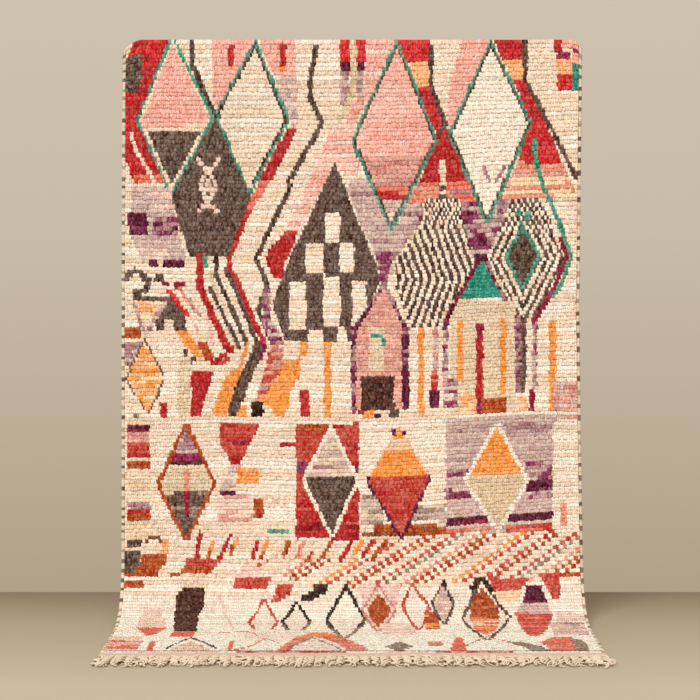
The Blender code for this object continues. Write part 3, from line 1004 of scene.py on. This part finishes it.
loose = np.clip(loose + fleece.normal(0.0, 0.7, (rows, 1)) - 0.7, 0.0, 1.6)
fleck = fleece.normal(0.0, 1.3, chart.shape + (3, 4))
# Painted shadow: the lower lip of each cut end is darkened a little at random, for the shadow in
# the gaps between knots along the row lines.
gap_painted_shadow = np.ones(chart.shape + (3, 4))
gap_painted_shadow[..., 2, 1:3] = 1.0 - 0.30 * fleece.uniform(0.0, 1.0, chart.shape + (2,)) ** 3
knot_points = np.empty(chart.shape + (3, 4, 3))
low_end = np.interp(rows - 1 - row, last_rows, last_rows_off)
for ring in range(3):
    moves = 0.0 if ring == 0 else 1.0
    tip = ring == 2
    last = (row == rows - 1) * tip
    tip_move = tip * (tip_drift * nudge[..., 1] + tip_right)
    centre = knot_x + moves * knot_drift * nudge[..., 0] + tip_move
    half = 0.5 * section_width[ring] * knot_pitch * (1.0 + moves * knot_swell * nudge[..., 2])
    for corner, (side, inner) in enumerate(((-1, 0), (-1, 1), (1, 1), (1, 0))):
        row_share = section_down[ring, inner] + last_longer * inner * last
        down = row_lines[:-1, None] + row_share * row_pitch
        down = down + row_shift(knot_x, down)
        ragged = tip_ragged * nudge[..., 3] + tip_slant * side * nudge[..., 4] - tip_short * loose
        down = down + tip * row_pitch * ragged
        tilt = side * knot_tilt * nudge[..., 7]
        uneven = off_spread * nudge[..., 5] + tilt + tip * tip_off_spread * nudge[..., 6]
        level = section_off[ring, inner] * low_end * (1.0 - last_flatter * inner * last)
        off = level + moves * uneven
        knot_points[:, :, ring, corner] = on_rug(centre + side * half, down, off)

knot_faces = [[0, 3, 2, 1], [8, 9, 10, 11]]
for ring in range(2):
    for corner in range(4):
        after = (corner + 1) % 4
        near, far = 4 * ring, 4 * ring + 4
        knot_faces.append([near + corner, near + after, far + after, far + corner])
knot_faces = np.array(knot_faces)
spans = np.array([[0.0, 0.18], [0.86, 1.0]] + [[0.20, 0.48]] * 4 + [[0.50, 0.84]] * 4)
cell_uv = np.empty((10, 4, 2))
for face, (low, high) in enumerate(spans):
    cell_uv[face] = ((0.1, low + 0.02), (0.9, low + 0.02), (0.9, high - 0.02), (0.1, high - 0.02))

pile = Nodes("knotted_pile_wool", 0.95, 0.04)
dye = pile.add("ShaderNodeAttribute", attribute_name="wool_colour")
strand = pile.add("ShaderNodeUVMap", uv_map="yarn")
fibre = pile.noise(strand.outputs["UV"], 1.0, 3.0, (2600.0, 260.0, 1.0))
clump = pile.noise(strand.outputs["UV"], 1.0, 2.0, (230.0, 240.0, 1.0))
height = pile.math("MULTIPLY_ADD", clump, 1.5, fibre)
tinted = pile.scaled(dye.outputs["Color"], pile.spread(height, 0.8, 1.7, 0.80, 1.19))
fuzz = pile.spread(clump, 0.30, 0.70, -0.085, 0.085)
root = pile.add("ShaderNodeGamma", {"Color": dye.outputs["Color"], "Gamma": 0.5})
sockets = {0: root.outputs[0], 1: fuzz, 2: tinted}
fuzzy = pile.add("ShaderNodeVectorMath", sockets, operation="MULTIPLY_ADD")
pile_wool = pile.finish(fuzzy.outputs[0], height, 0.0012)

bands = 5
band_rows = np.array_split(np.arange(rows), bands)
for number, band in enumerate(band_rows):
    points = knot_points[band].reshape(-1, 3)
    knots = len(band) * knots_across
    faces = (12 * np.arange(knots)[:, None, None] + knot_faces[None]).reshape(-1, 4)
    mesh = bpy.data.meshes.new(f"pile_rows_{number + 1}")
    mesh.vertices.add(len(points))
    mesh.vertices.foreach_set("co", points.reshape(-1))
    mesh.loops.add(faces.size)
    mesh.loops.foreach_set("vertex_index", faces.reshape(-1))
    mesh.polygons.add(len(faces))
    mesh.polygons.foreach_set("loop_start", np.arange(0, faces.size, 4))
    mesh.update(calc_edges=True)
    mesh.shade_smooth()
    colours = np.ones((knots, 3, 4, 4))
    tied = knot_colour[band].reshape(-1, 1, 1, 3)
    # Each knot's wool colour, darkened by its painted shade at the roots and in the gaps, with its
    # flecks added.
    painted_knot_shade = (section_painted_shade[:, None] * gap_painted_shadow[band]).reshape(-1, 3, 4, 1)
    flecks = fleck[band].reshape(-1, 3, 4, 1) * grain[band].reshape(-1, 1, 1, 3)
    colours[..., :3] = np.clip(tied * painted_knot_shade + flecks, 0.002, 0.97)
    layer = mesh.color_attributes.new("wool_colour", "FLOAT_COLOR", "POINT")
    layer.data.foreach_set("color", colours.astype(np.float32).reshape(-1))
    piece = bpy.data.objects.new(mesh.name, mesh)
    bpy.context.scene.collection.objects.link(piece)
    cell = np.stack([column[band], row[band] - band[0]], axis=-1)
    cell = cell.reshape(-1, 1, 1, 2) + cell_uv[None]
    add_uv(piece, "OFBake", cell / np.array([knots_across, len(band)]))
    yarn = np.array([[0.0, 0.0], [1.0, 0.0], [1.0, 1.0], [0.0, 1.0]])[None, None] * (0.007, 0.014)
    yarn = yarn + fleece.uniform(0.0, 3.0, (knots, 1, 1, 2))
    yarn = yarn + 0.02 * np.arange(10)[None, :, None, None]
    add_uv(piece, "yarn", np.broadcast_to(yarn, (knots, 10, 4, 2)))
    piece.data.uv_layers.active = piece.data.uv_layers["OFBake"]
    mesh.materials.append(pile_wool)
    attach(piece, "root")
    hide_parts("pile_cloth")


# THE OVERCAST EDGES
# Along both sides, cream and dark brown yarn by turns is wrapped over two thick side cords. Each
# turn of yarn stands up as a small ridge across the roll.

edge_turns, edge_seed = 500, 50
edge_thick, thick_spread, turn_slant, between_turns = 0.0100, 0.0010, 0.0018, 0.84
edge_section = (
    (1.00, 0.00),
    (0.55, -0.03),
    (0.12, 0.14),
    (0.00, 0.52),
    (0.16, 0.86),
    (0.52, 1.00),
    (1.00, 0.92),
)
edge_dyes = [(220, 198, 172), (100, 80, 66), (126, 104, 86), (170, 146, 122)]
edge_dyes = np.array([linear(*dye_colour) for dye_colour in edge_dyes])
section_across = np.array([corner[0] for corner in edge_section])
section_rise = np.array([max(corner[1], 0.0) for corner in edge_section])

edge = Nodes("overcast_edge_yarn", 0.95, 0.2)
wrap = edge.add("ShaderNodeAttribute", attribute_name="wrap_colour")
place = edge.add("ShaderNodeTexCoord")
hair = edge.noise(place.outputs["Object"], 1.0, 3.0, (300.0, 300.0, 1400.0))
wrapped = edge.scaled(wrap.outputs["Color"], edge.spread(hair, 0.3, 0.7, 0.85, 1.1))
edge_wool = edge.finish(wrapped, hair, 0.0007)

for name, side, inwards in (("overcast_edge_left", 0, 1.0), ("overcast_edge_right", 1, -1.0)):
    turn_chance = np.random.default_rng(edge_seed + side)
    piece, share_round, share_down = new_grid(f"{name}_wraps", len(edge_section), 2 * edge_turns)
    around = np.rint(share_round * len(edge_section)).astype(int) % len(edge_section)
    ring = np.rint(share_down * 2 * edge_turns).astype(int)
    thick = edge_thick + thick_spread * turn_chance.uniform(-1.0, 1.0, edge_turns + 1)[ring // 2]
    swell = np.where(ring % 2 == 1, 1.0, between_turns)
    down = share_down * pile_length
    outer = side_lines(down)[side]
    x = outer + inwards * edge_width * (1.0 - swell * (1.0 - section_across[around]))
    rise = thick * (0.5 + swell * (section_rise[around] - 0.5))
    down = np.clip(down + turn_slant * (section_rise[around] - 0.5), 0.0, pile_length)
    put_points(piece, on_rug(x, down, rise))

    turn_wool = []
    while len(turn_wool) <= edge_turns:
        turn_wool += [0] * int(turn_chance.integers(3 + side, 7 + side))
        dark_wool = int(turn_chance.integers(1, 4))
        turn_wool += [dark_wool] * int(turn_chance.integers(2 + side, 4 + side))
    turn_wool = np.array(turn_wool[: edge_turns + 1])
    colours = np.ones((len(piece.data.vertices), 4))
    colours[:, :3] = edge_dyes[turn_wool[ring // 2]]
    layer = piece.data.color_attributes.new("wrap_colour", "FLOAT_COLOR", "POINT")
    layer.data.foreach_set("color", colours.astype(np.float32).reshape(-1))

    deselect()
    bpy.context.view_layer.objects.active = piece
    piece.select_set(True)
    bpy.ops.object.mode_set(mode="EDIT")
    bpy.ops.mesh.select_all(action="SELECT")
    bpy.ops.mesh.remove_doubles(threshold=0.00001)
    bpy.ops.mesh.select_all(action="DESELECT")
    bpy.ops.mesh.select_mode(type="EDGE")
    bpy.ops.mesh.select_non_manifold()
    bpy.ops.mesh.edge_face_add()
    bpy.ops.object.mode_set(mode="OBJECT")
    face_outwards(piece)
    piece.data.shade_smooth()
    piece.data.materials.clear()
    piece.data.materials.append(edge_wool)
    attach(piece, "root")
    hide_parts(name)


# THE FLAT-WOVEN END
# After the last knots the weaver beats in a strip of plain beige weft, which lies flat on the floor
# and holds the knots. Every weft is a low ridge across the strip.

end_length, end_thick, end_wall = 0.042, 0.0035, 0.0022
end_wefts, end_across, end_seed = 12, 130, 61
weft_hollow, weft_spread, end_wander, front_curl = 0.0011, 0.0003, 0.0007, 0.0022
end_back = float(on_rug(0.0, pile_length, 0.0)[1]) - gap
end_left, end_right = (float(x) for x in side_lines(pile_length))
weft_chance = np.random.default_rng(end_seed)
strip, across, along = new_grid("flat_woven_end_weave", end_across, 2 * end_wefts)
weft = np.rint(along * 2 * end_wefts).astype(int)
lift = np.where(weft % 2 == 1, end_thick, end_thick - weft_hollow)
lift = lift + weft_spread * weft_chance.uniform(-1.0, 1.0, len(lift))
wander = end_wander * np.sin(across * 23.0 + 0.35 * weft) * (weft > 0) * (weft < 2 * end_wefts)
front_wave = front_curl * np.sin(across * 61.0) * np.sin(across * 17.0 + 1.0) * along**3
x = end_left + (end_right - end_left) * across
y = end_back - end_length * along - wander + front_wave
put_points(strip, np.stack([x, y, lift - hang_height], axis=-1))
deselect()
bpy.context.view_layer.objects.active = strip
wall = strip.modifiers.new("thickness", "SOLIDIFY")
wall.thickness = end_wall
wall.offset = -1.0
bpy.ops.object.modifier_apply(modifier=wall.name)
face_outwards(strip)
strip.data.shade_smooth()

flat = Nodes("flat_woven_beige_wool", 0.95, 0.2)
place = flat.add("ShaderNodeTexCoord")
streak = flat.noise(place.outputs["Object"], 1.0, 4.0, (60.0, 200.0, 200.0))
hair = flat.noise(place.outputs["Object"], 1.0, 3.0, (420.0, 1500.0, 1500.0))
shade = flat.mix(streak, linear(186, 162, 140), linear(232, 210, 188))
shade = flat.mix(flat.math("MULTIPLY", hair, 0.4), shade, linear(164, 140, 116))
strip.data.materials.clear()
strip.data.materials.append(flat.finish(shade, hair, 0.0006))
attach(strip, "root")
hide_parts("fringed_end")


# THE FRINGE
# The loose warp ends are twisted into locks, two to a bunch. They lie on the floor in short curls,
# narrow where they leave the strip and looser towards their ends.

bunches, locks_per_bunch, strands_per_lock = 48, 2, 4
lock_pitch, fringe_margin = 0.011, 0.012
lock_length, lock_spread = 0.128, 0.014
corner_flare, corner_bunches = 0.026, 2.5
strand_radius, strand_sides, strand_rings = 0.0034, 4, 26
lock_start, lay_seed = 0.004, 9
lay = np.random.default_rng(lay_seed)

end_front = end_back - end_length
bunch_pitch = (end_right - end_left - 2.0 * fringe_margin) / bunches
bunch_places = np.arange(bunches) + 0.5 + 0.12 * lay.uniform(-1.0, 1.0, bunches)
roots = end_left + fringe_margin + bunch_pitch * bunch_places
roots = (roots[:, None] + (np.arange(locks_per_bunch) - 0.5) * lock_pitch).reshape(-1)
bunch_lean = 0.012 * lay.uniform(-1.0, 1.0, bunches)
share = np.linspace(0.0, 1.0, strand_rings)
fringe_points, fringe_faces = [], []
for lock, root in enumerate(roots):
    length = lock_length + lay.uniform(-1.0, 1.0) * lock_spread
    outward = -1.0 if lock % locks_per_bunch == 0 else 1.0
    from_corner = min(lock, len(roots) - 1 - lock) / (corner_bunches * locks_per_bunch)
    flare = corner_flare * max(0.0, 1.0 - from_corner) * (-1.0 if lock < len(roots) / 2 else 1.0)
    flare += bunch_lean[lock // locks_per_bunch]
    curl, curl_turns = lay.uniform(0.003, 0.008), lay.uniform(0.8, 1.8)
    curling = np.sin(2.0 * math.pi * curl_turns * share + lay.uniform(0.0, 6.3))
    bundle = 0.0030 + 0.0052 * np.clip(3.0 * share, 0.0, 1.0) + 0.0020 * curling
    twist = lay.choice((-1.0, 1.0)) * lay.uniform(1.4, 2.6)
    path_x = root + outward * 0.006 * np.clip(2.5 * share, 0.0, 1.0) + flare * share**1.2
    path_x = path_x + curl * curling * share
    path_y = end_front + lock_start - (length + lock_start) * share
    path_z = -hang_height + 0.0024 + lay.uniform(0.0, 0.0045) * share
    for strand in range(strands_per_lock):
        turn = 2.0 * math.pi * (strand / strands_per_lock + twist * share) + lay.uniform(0.0, 0.6)
        reach = 1.0 - 0.15 * strand * lay.uniform(0.2, 1.0)
        px = path_x + bundle * np.cos(turn)
        py = end_front + lock_start - (end_front + lock_start - path_y) * reach
        py = py + 0.4 * bundle * np.sin(2.0 * turn) * share
        above_path = np.clip(4.0 * share + 0.15, 0.0, 1.0)
        pz = path_z + 0.45 * bundle * (1.0 + np.sin(turn)) * above_path
        radius = strand_radius * (1.0 - 0.5 * share**6) * lay.uniform(0.8, 1.15)
        centre = np.stack([px, py, np.maximum(pz, -hang_height + radius)], axis=1)
        ahead = np.gradient(centre, axis=0)
        ahead /= np.linalg.norm(ahead, axis=1)[:, None]
        aside = np.cross(ahead, (0.0, 0.0, 1.0))
        aside /= np.linalg.norm(aside, axis=1)[:, None]
        above = np.cross(aside, ahead)
        angle = 2.0 * math.pi * (np.arange(strand_sides) + 0.5) / strand_sides
        round_x = np.cos(angle)[None, :, None] * aside[:, None]
        round_y = np.sin(angle)[None, :, None] * above[:, None]
        rings = centre[:, None] + radius[:, None, None] * (round_x + round_y)
        rings[..., 2] = np.maximum(rings[..., 2], -hang_height + 0.0001)
        first = len(fringe_points) * strand_rings * strand_sides
        fringe_points.append(rings.reshape(-1, 3))
        number = first + np.arange(strand_rings * strand_sides).reshape(strand_rings, strand_sides)
        number = np.concatenate([number, number[:, :1]], axis=1)
        quads = [number[:-1, :-1], number[1:, :-1], number[1:, 1:], number[:-1, 1:]]
        quads = np.stack(quads, axis=-1)
        fringe_faces += quads.reshape(-1, 4).tolist()
        fringe_faces += [number[0, :-1].tolist(), number[-1, :-1].tolist()[::-1]]
mesh = bpy.data.meshes.new("fringe_strands")
mesh.from_pydata(np.concatenate(fringe_points).tolist(), [], fringe_faces)
fringe = bpy.data.objects.new("fringe_strands", mesh)
bpy.context.scene.collection.objects.link(fringe)
face_outwards(fringe)
mesh.shade_smooth()

cord = Nodes("twisted_warp_ends", 0.95, 0.2)
place = cord.add("ShaderNodeTexCoord")
ply = cord.noise(place.outputs["Object"], 1.0, 4.0, (500.0, 260.0, 400.0))
clump = cord.noise(place.outputs["Object"], 38.0, 2.0)
shade = cord.mix(clump, linear(220, 198, 171), linear(242, 224, 201))
shade = cord.mix(cord.math("MULTIPLY", ply, 0.36), shade, linear(170, 138, 104))
mesh.materials.append(cord.finish(shade, ply, 0.0008))
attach(fringe, "root")
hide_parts("fringed_end")


# FLOOR, LIGHT AND CAMERA
# A pale floor with painted shade that darkens it towards the back, two soft lights from the front,
# one high and one low, and a pale surround.

deselect()
bpy.ops.mesh.primitive_plane_add(size=1.0)
floor = bpy.context.active_object
floor.name = floor.data.name = "floor"
floor_left, floor_right, floor_back, floor_front = -7.0, 7.0, 0.45, -9.0
floor_level = -hang_height - 0.0002
floor_sides = [(x, y) for y in (floor_front, floor_back) for x in (floor_left, floor_right)]
put_points(floor, [(x, y, floor_level) for x, y in floor_sides])
smooth = Nodes("pale_floor_painted_shade", 0.7)
place = smooth.add("ShaderNodeTexCoord")
parts = smooth.add("ShaderNodeSeparateXYZ", {0: place.outputs["Object"]})
# Painted shade: the floor's colour darkens towards the back, for the shade that falls on the floor
# behind the rug.
floor_painted_shade = smooth.add("ShaderNodeValToRGB", {0: smooth.spread(parts.outputs["Y"], 0.5, -0.9)})
floor_painted_shade.color_ramp.elements[0].color = (*linear(124, 109, 88), 1.0)
floor_painted_shade.color_ramp.elements[1].color = (*linear(190, 178, 157), 1.0)
middle = floor_painted_shade.color_ramp.elements.new(0.4)
middle.color = (*linear(164, 150, 125), 1.0)
cloud = smooth.noise(place.outputs["Object"], 1.3, 3.0)
shade = smooth.mix(smooth.math("MULTIPLY", cloud, 0.12), floor_painted_shade.outputs[0], linear(136, 126, 108))
floor.data.materials.append(smooth.finish(shade, cloud, 0.001, 0.1))

world = bpy.data.worlds.new("surround")
bpy.context.scene.world = world
world.use_nodes = True
around = world.node_tree
looking = around.nodes.new("ShaderNodeTexCoord")
parts = around.nodes.new("ShaderNodeSeparateXYZ")
upward = around.nodes.new("ShaderNodeMapRange")
upward.inputs["From Min"].default_value = -0.20
upward.inputs["From Max"].default_value = 0.14
blend = around.nodes.new("ShaderNodeValToRGB")
blend.color_ramp.elements[0].color = (*linear(177, 161, 136), 1.0)
blend.color_ramp.elements[1].color = (*linear(206, 194, 176), 1.0)
middle = blend.color_ramp.elements.new(0.60)
middle.color = (*linear(201, 188, 168), 1.0)
around.links.new(looking.outputs["Generated"], parts.inputs[0])
around.links.new(parts.outputs["Z"], upward.inputs["Value"])
around.links.new(upward.outputs[0], blend.inputs[0])
around.links.new(blend.outputs[0], around.nodes["Background"].inputs["Color"])
around.nodes["Background"].inputs["Strength"].default_value = 1.0

for name, from_left, height, softness, power in (
    ("high_front_light", 24.0, 42.0, 40.0, 2.70),
    ("low_front_light", -25.0, 8.0, 90.0, 0.96),
):
    lamp = bpy.data.lights.new(name, "SUN")
    lamp.angle = math.radians(softness)
    lamp.energy = power
    lamp.color = (0.88, 0.945, 1.0)
    holder = bpy.data.objects.new(name, lamp)
    holder.location = (-2.0 if from_left > 0.0 else 2.0, -5.0, 3.0)
    holder.rotation_euler = (math.radians(90.0 - height), 0.0, math.radians(-from_left))
    bpy.context.scene.collection.objects.link(holder)

camera_place, lens_length, lens_shift = (-0.007, -6.0, -0.67), 88.35, -0.168
lens_data = bpy.data.cameras.new("camera")
lens_data.sensor_width = 36.0
lens_data.lens = lens_length
lens_data.shift_y = lens_shift
viewer = bpy.data.objects.new("camera", lens_data)
viewer.location = camera_place
viewer.rotation_euler = (math.radians(90.0), 0.0, 0.0)
bpy.context.scene.collection.objects.link(viewer)
bpy.context.scene.camera = viewer
bpy.context.scene.view_settings.view_transform = "Standard"
